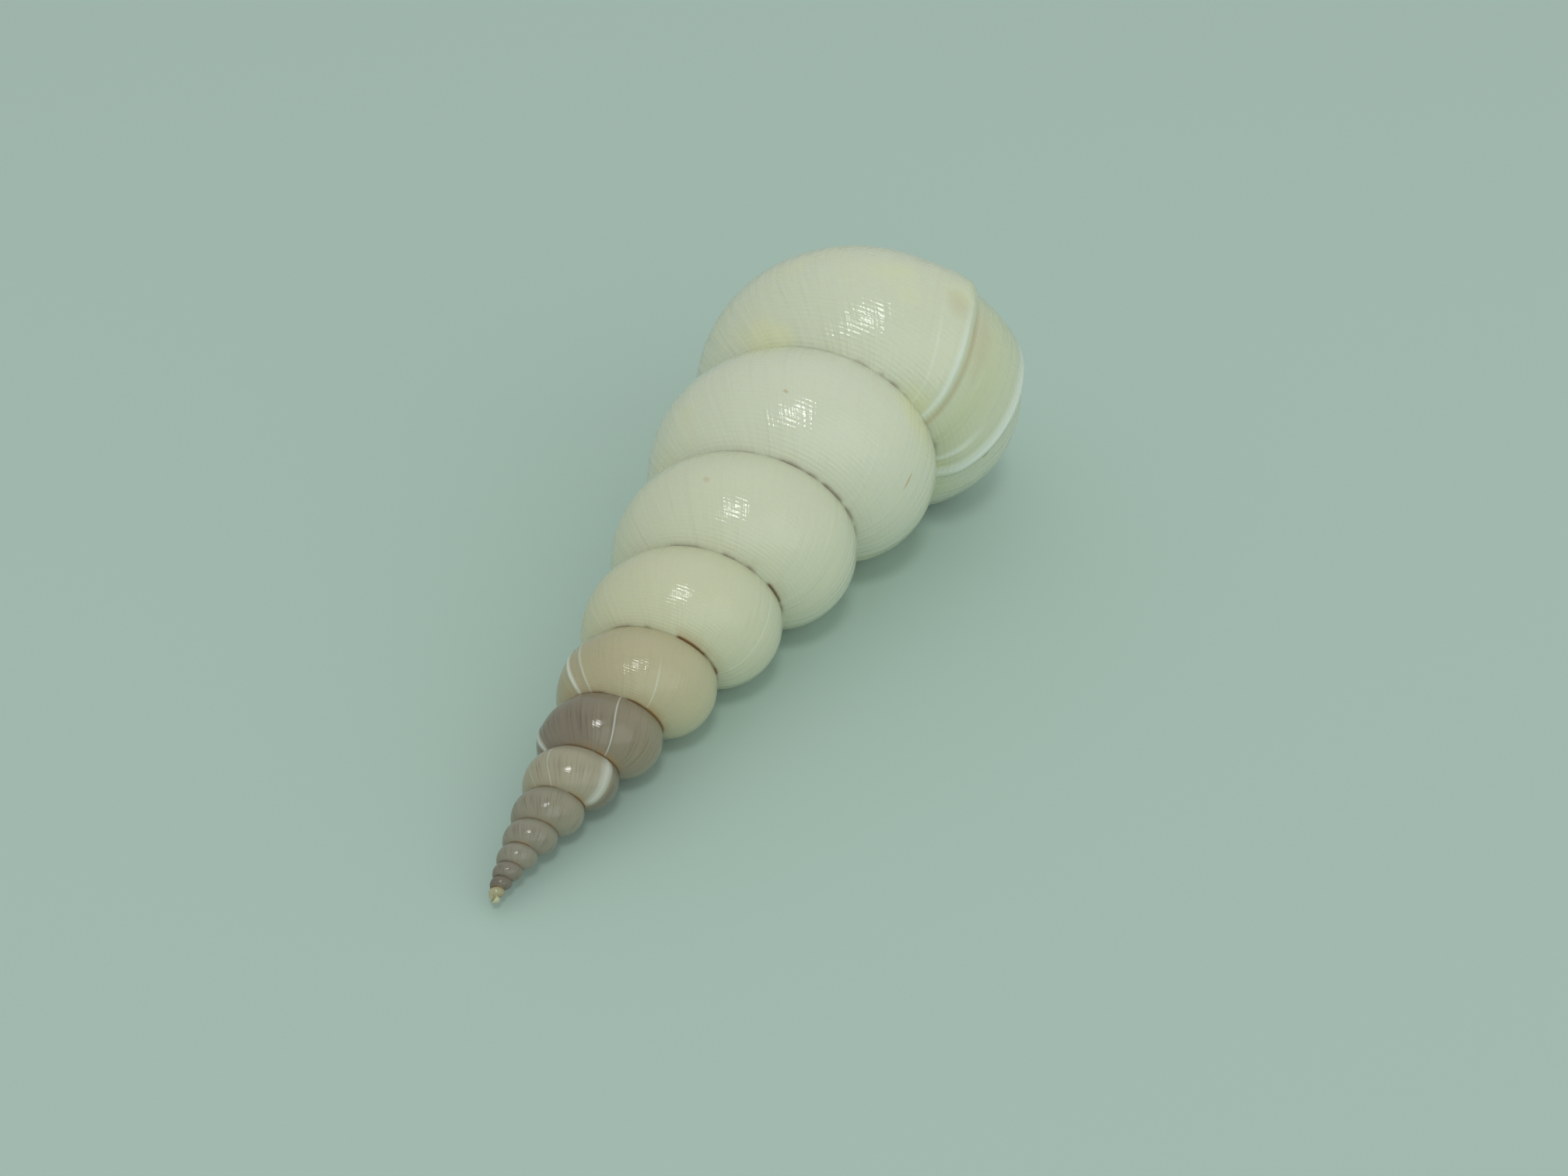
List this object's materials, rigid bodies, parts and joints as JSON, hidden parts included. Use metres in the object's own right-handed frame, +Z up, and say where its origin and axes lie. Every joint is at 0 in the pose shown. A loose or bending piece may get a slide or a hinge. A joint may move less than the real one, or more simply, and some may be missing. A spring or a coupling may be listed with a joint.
{
  "type": "sea shell",
  "caption": "Slender wentletrap sea shell lying on its side: strongly rounded glossy whorls, ivory at the mouth end and brown toward the pointed apex, with a few raised white old lips.",
  "frame": {"origin": "under the middle of the outline box, at the height of the surface that the shell rests on", "axes": "+Z up as the shell lies, +Y level along the shell from the apex to the mouth end, +X the side that the picture shows; the shell's own axis rises 11.3 degrees toward +Y"},
  "size_m": [0.0182, 0.0522, 0.0176],
  "materials": {
    "shell": "glossy"
  },
  "bodies": {
    "root": {"shell": "shell"}
  },
  "joints": []
}
